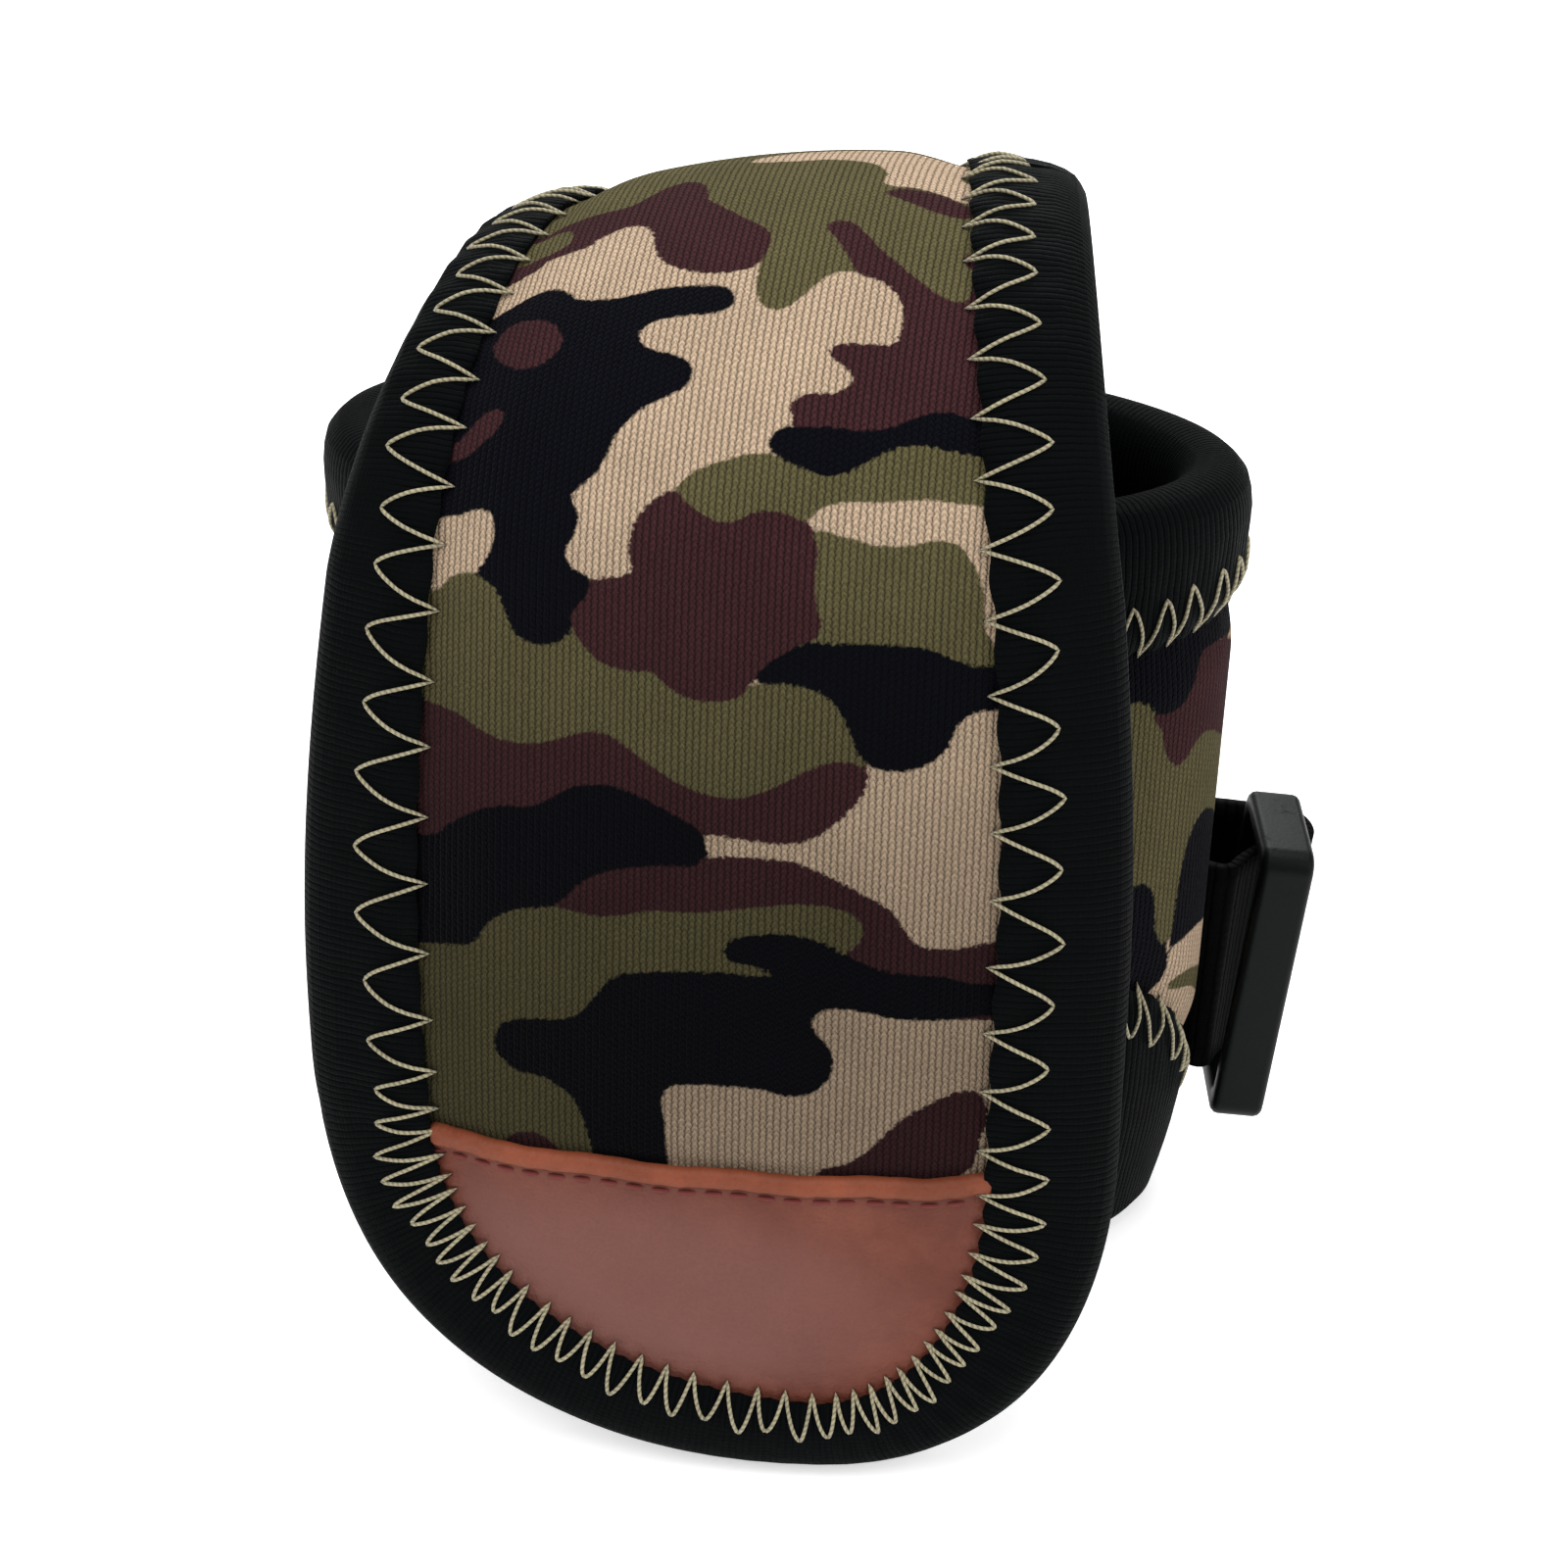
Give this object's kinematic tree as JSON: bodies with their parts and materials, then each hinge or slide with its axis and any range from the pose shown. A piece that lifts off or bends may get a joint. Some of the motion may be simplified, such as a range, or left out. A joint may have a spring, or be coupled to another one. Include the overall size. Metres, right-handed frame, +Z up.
{
  "type": "padded cuff with wrap-over strap",
  "caption": "Open-ended padded fabric cuff with bound edges, a broad wrap-over strap with a rounded leather-faced tip, and a plastic ring on a webbing keeper at its side.",
  "frame": {"origin": "middle of the bounding box's footprint, on the surface that the cuff stands on", "axes": "+Z up along the cuff's open axis, +X to the side ring, -Y towards the strap's leather-tipped front"},
  "size_m": [0.0986, 0.0856, 0.1122],
  "materials": {
    "camo_face": "knitted polyester jersey printed in a four-colour camouflage: tan, olive, maroon brown and navy black",
    "foam": "closed-cell chloroprene foam, 2.6 mm",
    "lining": "smooth black knitted nylon",
    "binding": "black ribbed stretch binding tape folded over the edge",
    "zigzag_thread": "khaki polyester thread",
    "dark_red_thread": "dark red sewing thread",
    "leather": "reddish-brown smooth leather with a soft sheen",
    "leather_hem": "lighter orange-brown folded leather edge",
    "hook_and_loop": "black hook-and-loop tape",
    "webbing": "black woven webbing",
    "moulded_plastic": "satin black moulded plastic"
  },
  "bodies": {
    "cuff": {"cuff_camo_panel": "camo_face", "cuff_foam_core": "foam", "cuff_lining": "lining", "cuff_top_binding": "binding", "cuff_bottom_binding": "binding", "cuff_top_zigzag": "zigzag_thread", "cuff_bottom_zigzag": "zigzag_thread", "cuff_loop_patch": "hook_and_loop", "cuff_seam_tape": "lining", "anchor_camo_panel": "camo_face", "anchor_foam_core": "foam", "anchor_lining": "lining", "anchor_binding": "binding", "anchor_zigzag": "zigzag_thread", "anchor_stitch_upper": "zigzag_thread", "anchor_stitch_lower": "zigzag_thread", "ring_keeper_webbing": "webbing", "keeper_bartack": "zigzag_thread"},
    "strap_bridge": {"bridge_camo_panel": "camo_face", "bridge_foam_core": "foam", "bridge_lining": "lining", "bridge_binding_left": "binding", "bridge_zigzag_left": "zigzag_thread", "bridge_binding_right": "binding", "bridge_zigzag_right": "zigzag_thread"},
    "strap_tab": {"tab_foam_core": "foam", "tab_lining": "lining", "leather_tip": "leather", "tab_camo_panel": "camo_face", "leather_hem": "leather_hem", "leather_stitch": "dark_red_thread", "tab_hook_patch": "hook_and_loop", "tab_binding": "binding", "tab_zigzag": "zigzag_thread"},
    "side_ring": {"side_ring": "moulded_plastic"}
  },
  "joints": [
    {"name": "strap_lift", "type": "hinge", "parent": "cuff", "child": "strap_bridge", "pos_m": [-0.00421, 0.04207, 0.078], "axis": [-1, 0, 0], "range_deg": [0, 95]},
    {"name": "tab_peel", "type": "hinge", "parent": "strap_bridge", "child": "strap_tab", "pos_m": [-0.00421, -0.02793, 0.084], "axis": [-1, 0, 0], "range_deg": [0, 85]},
    {"name": "ring_swing", "type": "hinge", "parent": "cuff", "child": "side_ring", "pos_m": [0.04319, 0.024, 0.0254], "axis": [0.1118, 0.0177, 0.9936], "range_deg": [0, 40]}
  ]
}
